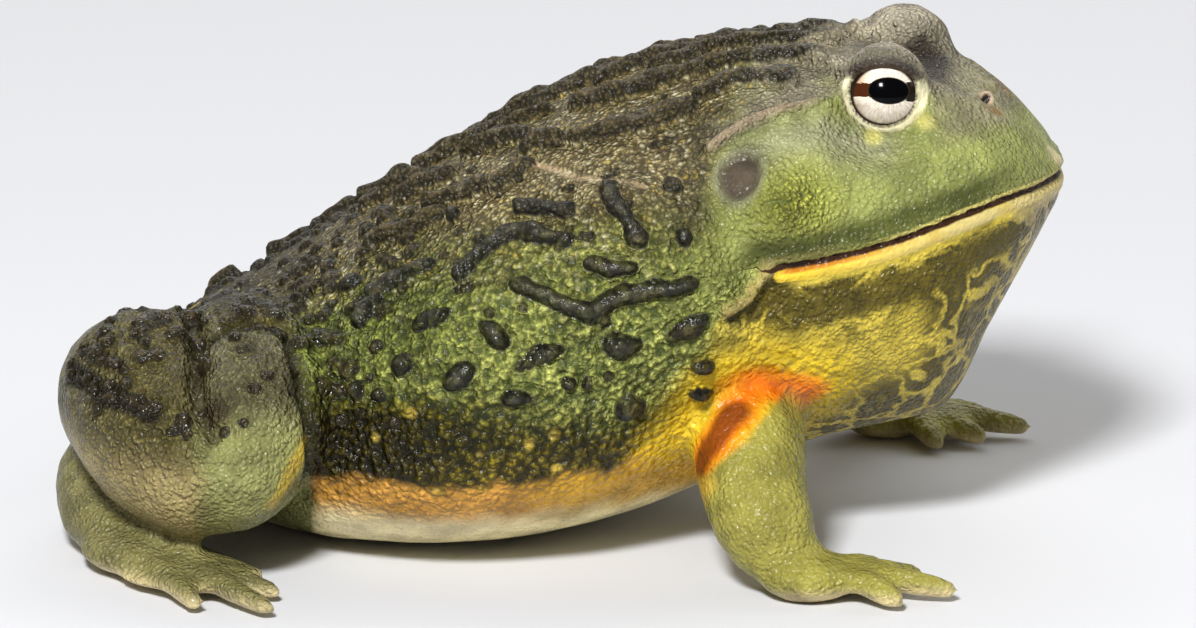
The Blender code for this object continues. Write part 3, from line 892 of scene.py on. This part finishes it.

# Lids: cream below, grey brown above with painted shade along the upper lid's lower edge, dark at
# their very edge, with two yellow spots under them.
lid_across = across / 7.5
lid_width = 1.14 + 0.08 * lid_across**2 + 0.05 * lid_across
near_lids = ramp(eye_reach, 14.0, 12.0)
lid = ramp(rim_share, lid_width + 0.05, lid_width - 0.03) * ramp(upward, 4.2, 2.2) * near_lids
paint(lid, "#d8d2ae", "#c0b890", 0.08, 0.0)
hood = ramp(rim_share, 1.6, 1.25) * ramp(upward, 2.4, 4.4) * near_lids
paint(hood, "#827c68", "#5d5747", 0.4, 0.0)
# Painted shade along the lower edge of the hood over the eye.
paint(hood * ramp(rim_share, 1.36, 1.14), "#463d35", "#302923", 0.3, 0.0)
rear_spot = ramp(from_spot((72.2, 33.0, 92.2)), 3.0, 1.0)
front_spot = ramp(from_spot((82.4, 25.8, 94.4)), 3.3, 1.0)
paint(rear_spot + front_spot, "#d0ca78", "#b0aa5c", 0.25, 0.1)
paint(ramp(rim_share, 1.045, 1.015) * ramp(eye_reach, 10.5, 9.8), "#3a2c1e", "#2a1f16", 0.1, 0.0)

# Ears: a dark disc in a grey green ring, under the brow's pale ridge, with painted shadow beneath the
# ridge and a painted highlight along its crest.
paint(ramp(ear_reach + 0.1 * drift[:, 1], 1.25, 1.0) * 0.8, "#7f7e63", "#64634b", 0.2, 0.0)
paint(ramp(ear_reach + 0.1 * drift[:, 1], 1.02, 0.7) * 0.9, "#463a32", "#312823", 0.1, 0.0)
paint(ramp(ear_reach, 0.6, 0.2) * 0.3, "#6b5a4f", "#4a3f37", 0.1, 0.0)
# Painted shadow under the brow's ridge.
under_brow_shadow = line_reach(sided, [(a, b + 0.6, c - 2.2) for a, b, c in BROW_RIDGE])
paint(ramp(under_brow_shadow, 1.9, 0.8) * 0.95, "#372e20", "#2a2218", 0.3, 0.1)
# The ridge's crest is pale towards the rear, partly its own colour and partly a painted highlight.
paint(ramp(brow_reach, 1.5, 0.6) * ramp(x, 63, 52), "#a8967c", "#8a795f", 0.5, 0.1)

# The pale fold at the mouth's corner, with painted shadow under it, and the nostrils, brown below and
# pale round, with painted shade in their holes.
# Painted shadow under the fold at the mouth's corner.
under_fold_shadow = line_reach(sided * (1, 0, 1), [(a + 1.2, 0, c - 1.3) for a, _, c in CORNER_FOLD])
paint(ramp(under_fold_shadow, 1.9, 0.9) * ramp(away, 40, 44), "#2e2910", "#1f1b0a", 0.3, 0.1)
paint(ramp(corner_reach, 1.6, 0.9), "#a8985c", "#84743f", 0.15, 0.0)
nostril_along, nostril_up = seen(*NOSTRIL)
along, up = seen_along - nostril_along, seen_up - nostril_up
under_nose = np.hypot((along - 0.9) / 3.3, (up + 2.9) / 1.7) + 0.3 * drift[:, 0]
under_nose = ramp(under_nose, 1.3, 0.4) * ramp(nose_reach, 6.5, 5.0) * ramp(away, 3.0, 5.0)
paint(under_nose * 0.85, "#7d5a24", "#63461a", 0.2, 0.0)
nose_hole = np.linalg.norm((sided - NOSTRIL + (0.0, 0.3, -0.1)) / (0.8, 1.0, 1.4), axis=1)
paint(ramp(nose_hole, 2.1, 1.5) * 0.9, "#b39c86", "#97806a", 0.1, 0.0)
# Painted shade inside the nostril's hole.
paint(ramp(nose_hole, 1.2, 0.9), "#1c1410", "#140e0b", 0.0, 0.0)

# Snout's tip and chin: cream. Along the jaw, under the lip and towards the mouth's corner, painted
# shadow darkens the throat to olive.
paint(ramp(from_spot((108.3, 0, 81.0)), 4.5, 2.5), "#d8cd9a", "#c2b684", 0.1, 0.0)
grain -= 0.8 * grain * ramp(lip_reach, 3.2, 2.2)
chin = jaw_share * ramp(x + 2 * drift[:, 0], 99, 104) * ramp(z, 62, 68)
paint(chin * 0.8, "#bfae7c", "#96875a", 0.3, 0.2)
# Painted shadow under the lip and towards the mouth's corner.
under_lip_shadow = [(72, 43, 60), (80, 39.5, 62), (88, 35, 64.5), (95, 29, 67), (100, 23, 68.5)]
under_lip_reach = line_reach(sided, under_lip_shadow) + 1.8 * drift[:, 2]
paint(ramp(under_lip_reach, 5.2, 2.6) * jaw_share * 0.9, "#51470f", "#372f0a", 0.4, 0.2)
jaw_shade = [(51.6, 50.9, 62.8), (56.8, 49.2, 59.2), (62.9, 46.9, 57.8), (69, 44.7, 59.6)]
jaw_shade_reach = line_reach(sided, jaw_shade) + 1.2 * drift[:, 1]
paint(ramp(jaw_shade_reach, 5.6, 2.4) * jaw_share * 0.9, "#4b4314", "#332c0d", 0.4, 0.2)

# What the material draws from besides the colours. Each is kept on the points under its name.
throat = jaw_share * ramp(-mouth_signed, 4.2, 5.2) * ramp(armpit_reach, 8, 18)
throat_middle = from_spot((75.0, 37.0, 48.0)) + 3.0 * drift[:, 1]
throat *= 1 - 0.75 * ramp(throat_middle, 15, 6)
low_flank = ramp(z - dark_top, 2.0, -6.0) * (1 - belly) * trunk_like * (1 - thigh_share)
upper = ramp(level, brown_low - 0.1, brown_low + 0.14)
upper *= np.maximum(trunk_like, mid_back * ramp(head_start, 54, 40))
marks = {
    "crest": crest,
    "gap": gap,
    "grain": grain,
    "coarse": coarse,
    "fold": np.clip(1.3 - fold_share, 0, 1.3) * (1 - 0.72 * head_share * ramp(x, 48, 60)),
    "black": blackness,
    "mouth": np.clip(mouth_signed, -20, 20),
    "throat": throat,
    "lip": np.clip(lip_reach + 0.6 * ramp(x, 86, 102), 0, 20),
    "low_flank": low_flank,
    "upper": upper,
}
for name, values in marks.items():
    kind, field = ("FLOAT_COLOR", "color") if values.ndim == 2 else ("FLOAT", "value")
    layer = skin.data.attributes.new(name, kind, "POINT")
    layer.data.foreach_set(field, values.astype(np.float32).ravel())

# The skin, its finish: living amphibian hide, wet. Grains of 1.1 to 1.75 mm stand on it like close
# beads, paler on their crests, with painted shade in the gaps between them, and the folds and warts
# of the flanks are nearly black and shine, with a painted sheen along their tops.


def new_material(name):
    material = bpy.data.materials.new(name)
    material.use_nodes = True
    material.node_tree.nodes.clear()
    return material, material.node_tree


def add(kind, *given, **settings):
    """Adds a node to the material in hand. Its inputs are given in order, or by name in a dict.

    A hex colour is turned to linear, and a node stands for its first output in use.
    """
    node = tree.nodes.new("ShaderNode" + kind)
    for key, setting in settings.items():
        setattr(node, key, setting)
    if given and isinstance(given[0], dict):
        pairs = [(node.inputs[key], value) for key, value in given[0].items()]
    else:
        pairs = zip([socket for socket in node.inputs if socket.enabled], given)
    for socket, value in pairs:
        if isinstance(value, bpy.types.Node):
            value = next(output for output in value.outputs if output.enabled)
        if isinstance(value, bpy.types.NodeSocket):
            tree.links.new(value, socket)
        else:
            socket.default_value = linear(value) if isinstance(value, str) else value
    return node


def fade(*shares):
    """Multiplies shares.

    One given as a value and two marks goes softly from 0 at the first mark to 1 at the second, or
    between two levels that follow the marks.
    """
    whole = None
    for share in shares:
        if isinstance(share, tuple):
            share = add("MapRange", *share, interpolation_type="SMOOTHSTEP")
        whole = share if whole is None else add("Math", whole, share, operation="MULTIPLY")
    return whole


def laid(under, over, *shares):
    """One colour laid over another, as far as these shares let it show."""
    return add("Mix", fade(*shares), under, over, data_type="RGBA")


hide_finish, tree = new_material("wet_amphibian_hide")
marked = {}
for name, values in marks.items():
    output = "Color" if values.ndim == 2 else "Fac"
    marked[name] = add("Attribute", attribute_name=name).outputs[output]
# Patterns lie at places in metres, so one of 8 mm has a scale of 1000 / 8. Each is moved about by
# a coarser noise, the grains by up to 0.8 mm, so that its rows are irregular.
GRAIN_STIR = 0.0016
BLOTCH_STIR = 0.016
place = add("TexCoord").outputs["Object"]
patches = add("TexNoise", {"Vector": place, "Scale": 1000 / 8.0, "Detail": 4.0})
clumps = add("TexNoise", {"Vector": place, "Scale": 1000 / 2.6, "Detail": 2.0})
specks = add("TexNoise", {"Vector": place, "Scale": 1000 / 0.8, "Detail": 2.0})
stirred = add("Mix", GRAIN_STIR, place, clumps.outputs["Color"], data_type="VECTOR")
small = add("TexVoronoi", {"Vector": stirred, "Scale": 1000 / 1.1})
large = add("TexVoronoi", {"Vector": stirred, "Scale": 1000 / 1.75})
grain_reach = add("Mix", marked["coarse"], small, large)
bead = fade((grain_reach, 0.8, 0.08))
clump = fade((clumps, 0.36, 0.64, 0.5, 1.2))
luck = laid(small.outputs["Color"], large.outputs["Color"], marked["coarse"])
luck = add("SeparateColor", luck)
brightness = add("Math", luck.outputs["Red"], 0.8, 0.45, operation="MULTIPLY_ADD")
lit = fade(bead, brightness, clump)
# Each grain goes from its crest's colour to the gap's darker colour, deepened with painted shade.
base = laid(marked["gap"], marked["crest"], add("Mix", marked["grain"], 0.6, lit))
# Single grains of the upper side are golden or bone pale; the bone pale ones are partly their own
# colour and partly painted glints.
base = laid(base, "#a38d42", bead, (luck.outputs["Green"], 0.78, 0.9), marked["upper"])
base = laid(base, "#c2bb9b", bead, (luck.outputs["Blue"], 0.68, 0.84), marked["upper"])
shade = fade((patches, 0.3, 0.7, 0.72, 1.25))
base = add("HueSaturation", {"Color": base, "Value": shade})

# Yellow spots, 2 to 3 mm, scattered over the dark lower flank.
spots = add("TexVoronoi", {"Vector": place, "Scale": 1000 / 8.5})
base = laid(base, "#c2a845", (spots, 0.23, 0.1), 0.85, marked["low_flank"])

# The throat is olive in blotches of about 10 mm, paler at their middles, that run together in
# places, on a yellow ground.
stirred = add("Mix", BLOTCH_STIR, place, patches.outputs["Color"], data_type="VECTOR")
cells = {"Vector": stirred, "Scale": 1000 / 11.5}
blotches = add("TexVoronoi", cells, feature="DISTANCE_TO_EDGE")
broad = add("TexNoise", {"Vector": place, "Scale": 1000 / 17.0, "Detail": 2.0})
olive = laid("#4c430f", "#8a7c26", (blotches, 0.16, 0.4), (clumps, 0.4, 0.6), 0.6)
base = laid(base, olive, (blotches, 0.01, 0.12), (broad, 0.72, 0.6, 0.4, 1.0), marked["throat"])

# Folds and warts: near black on the flank, dark brown on the back, with a painted sheen along their
# tops.
on_fold = fade((marked["fold"], 0.22, 0.42))
fold_top_sheen = fade((marked["fold"], 0.65, 1.15), (clumps, 0.38, 0.62, 0.3, 1.0))
flank_fold = laid("#0e0d0a", "#38362f", fold_top_sheen)
back_fold = laid("#1c180e", "#443924", fold_top_sheen)
fold_colour = laid(back_fold, flank_fold, (marked["black"], 0.5, 0.95))
fold_colour = laid(fold_colour, marked["crest"], lit, (marked["black"], 1.0, 0.3, 0.1, 0.22))
base = laid(base, fold_colour, on_fold)

# The lips: a round band along the lower jaw, yellow behind and cream in front, under a dark line of
# painted shadow that shows orange inside the mouth, and a pale edge to the upper lip in front.
forward = add("SeparateXYZ", place).outputs["X"]
lip = laid("#dfc03a", "#c4b374", (forward, 0.055, 0.095))
lip = laid(lip, "#b59b3a", (patches, 0.5, 0.7, 0.0, 0.5))
base = laid(base, lip, (marked["lip"], LIP_WIDTH / 2 + 0.3, LIP_WIDTH / 2 - 0.3))
in_mouth = [(marked["mouth"], -1.7, -1.0), (marked["mouth"], -0.2, -0.5)]
base = laid(base, "#b8741a", *in_mouth, (forward, 0.085, 0.06), (forward, 0.051, 0.054))
above = add("Math", marked["mouth"], 0.0, operation="GREATER_THAN")
base = laid(base, "#c9bd6c", (marked["mouth"], 1.9, 1.3), above, (forward, 0.065, 0.085))
# Painted shadow in the mouth's groove, along its line.
mouth_shadow_reach = add("Math", marked["mouth"], operation="ABSOLUTE")
base = laid(base, "#331d0d", (mouth_shadow_reach, 0.85, 0.45))

# The beads and the finest specks stand up. Folds are smoother, and wetter.
flatter = fade(on_fold, (marked["black"], 0.2, 1.0, 0.5, 0.72))
height = fade(add("Math", 1.0, flatter, operation="SUBTRACT"), marked["grain"])
height = fade(add("Math", clump, 0.6, bead, operation="MULTIPLY_ADD"), height)
height = add("Math", specks, 0.15, height, operation="MULTIPLY_ADD")
bump = add("Bump", {"Height": height, "Distance": 0.0012, "Strength": 1.0})
rough = fade((specks, 0.3, 0.7, 0.22, 0.42))
rough = add("Math", marked["upper"], 0.14, rough, operation="MULTIPLY_ADD")
rough = add("Math", on_fold, -0.07, rough, operation="MULTIPLY_ADD")
wet = {"Base Color": base, "Roughness": rough, "Normal": bump, "IOR": 1.31}
add("OutputMaterial", add("BsdfPrincipled", wet))
skin.data.materials.clear()
skin.data.materials.append(hide_finish)
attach(skin, "root")
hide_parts(*[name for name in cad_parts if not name.startswith("eye")])

# The eyes. Each is a wet, glossy ball with its iris painted on its slightly bulging front: cream
# above and below, tan behind, a level black oval pupil joined to the dark rim by a brown bar at each
# end.
IRIS_DROP = 0.6
PUPIL_PLACE = (0.85, 0.98)
PUPIL_HALF = (4.25, 2.72)
FACE_WIDTH = 20.0
BULGE = 0.35
BULGE_RADIUS = 6.8


def eyeball(side):
    """A ball with its pole on the eye's axis, a bulge in front, and a map of its face in mm."""
    turn = Matrix(eye_ways(side)).transposed().to_4x4()
    turn.translation = eye_centres[side]
    ball = bmesh.new()
    bmesh.ops.create_uvsphere(ball, u_segments=72, v_segments=48, radius=BALL * MM)
    face_map = ball.loops.layers.uv.new("face")
    for face in ball.faces:
        face.smooth = True
        for loop in face.loops:
            spot = loop.vert.co / MM
            loop[face_map].uv = (0.5 + spot.x / FACE_WIDTH, 0.5 + spot.y / FACE_WIDTH)
    for vert in ball.verts:
        spot = vert.co / MM
        if spot.z > 0:
            out = math.hypot(spot.x, spot.y)
            vert.co.z += BULGE * MM * max(0.0, 1 - (out / BULGE_RADIUS) ** 2)
    bmesh.ops.transform(ball, matrix=turn, verts=ball.verts)
    bmesh.ops.recalc_face_normals(ball, faces=ball.faces)
    mesh = bpy.data.meshes.new("eye_ball_" + side)
    ball.to_mesh(mesh)
    ball.free()
    made = bpy.data.objects.new("eye_ball_" + side, mesh)
    bpy.context.collection.objects.link(made)
    return made


def distance(across, up):
    """How far it is to a place this far across and up."""
    squares = [add("Math", step, step, operation="MULTIPLY") for step in (across, up)]
    return add("Math", add("Math", *squares, operation="ADD"), operation="SQRT")


eye_finish, tree = new_material("wet_eye")
face_x, face_y, _ = add("SeparateXYZ", add("UVMap", uv_map="face")).outputs
sideways = add("Math", face_x, FACE_WIDTH, -FACE_WIDTH / 2, operation="MULTIPLY_ADD")
upwards = add("Math", face_y, FACE_WIDTH, IRIS_DROP - FACE_WIDTH / 2, operation="MULTIPLY_ADD")
iris_out = distance(sideways, add("Math", upwards, 1.1, operation="MULTIPLY"))
from_pupil = [
    add("Math", step, middle, operation="SUBTRACT")
    for step, middle in zip((sideways, upwards), PUPIL_PLACE)
]
pupil_x, pupil_y = (
    add("Math", step, half, operation="DIVIDE") for step, half in zip(from_pupil, PUPIL_HALF)
)
pupil_out = distance(pupil_x, pupil_y)
beside_pupil, over_pupil = (add("Math", step, operation="ABSOLUTE") for step in from_pupil)
# Fine rays run outward from the pupil.
angle = add("Math", pupil_y, pupil_x, operation="ARCTAN2")
ray_place = add("CombineXYZ", add("Math", angle, 9.0, operation="MULTIPLY"), pupil_out)
rays = add("TexNoise", {"Vector": ray_place, "Scale": 2.2, "Detail": 3.0})
iris = laid("#c6b9a6", "#ebe3d7", (rays, 0.35, 0.65))
iris = laid(iris, "#b58a55", (sideways, -3.0, -6.0), (upwards, -2.0, 2.0), 0.7)
iris = laid(iris, "#9e9188", (upwards, -0.5, -5.5), 0.45)
iris = laid(iris, "#84694c", (sideways, -3.2, -5.8), (upwards, -0.5, -3.0), 0.65)
bar_edge = add("Math", rays, 0.8, over_pupil, operation="MULTIPLY_ADD")
bar = add("Math", bar_edge, fade((sideways, -2.0, 4.0, 1.9, 2.5)), operation="LESS_THAN")
bar_colour = laid("#43210f", "#1c160b", (sideways, -2.0, 3.0))
iris = laid(iris, bar_colour, bar, (beside_pupil, 3.2, 4.0))
iris = laid(iris, "#1e140d", (iris_out, 6.2, 6.8))
iris = laid(iris, "#2f271a", (pupil_out, 1.1, 1.03))
iris = laid(iris, "#030305", (pupil_out, 1.05, 0.97))
add("OutputMaterial", add("BsdfPrincipled", {"Base Color": iris, "Roughness": 0.1, "IOR": 1.18}))
for side in ("left", "right"):
    ball = eyeball(side)
    ball.data.materials.append(eye_finish)
    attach(ball, "root")
    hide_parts("eye_" + side)

# The floor and the light: a matt pale floor, a small strong lamp high before the right flank, a
# large weak one ahead on the left, a wide one beyond the left flank, and a pale surround.
floor_mesh = bpy.data.meshes.new("floor")
floor_bm = bmesh.new()
bmesh.ops.create_grid(floor_bm, x_segments=1, y_segments=1, size=6.0)
floor_bm.to_mesh(floor_mesh)
floor_bm.free()
floor = bpy.data.objects.new("floor", floor_mesh)
bpy.context.collection.objects.link(floor)
floor.location.z = -0.0001
floor_finish, tree = new_material("matt_studio_floor")
add("OutputMaterial", add("BsdfPrincipled", {"Base Color": "#cfd0d4", "Roughness": 0.9}))
floor_mesh.materials.append(floor_finish)

for name, place_mm, size, power in (
    ("key", (-98, -1597, 1440), 0.34, 66.0),
    ("fill", (1500, 900, 1000), 1.2, 9.0),
    ("rim", (-300, 1500, 1300), 2.0, 18.0),
):
    lamp = bpy.data.objects.new(name, bpy.data.lights.new(name, "AREA"))
    lamp.data.size = size
    lamp.data.energy = power
    lamp.location = Vector(place_mm) * MM
    lamp.rotation_euler = lamp.location.to_track_quat("Z", "Y").to_euler()
    bpy.context.collection.objects.link(lamp)
world = bpy.data.worlds.new("studio")
world.use_nodes = True
world.node_tree.nodes["Background"].inputs["Color"].default_value = linear("#e8e5de")
world.node_tree.nodes["Background"].inputs["Strength"].default_value = 0.28
bpy.context.scene.world = world
bpy.context.scene.view_settings.view_transform = "Standard"
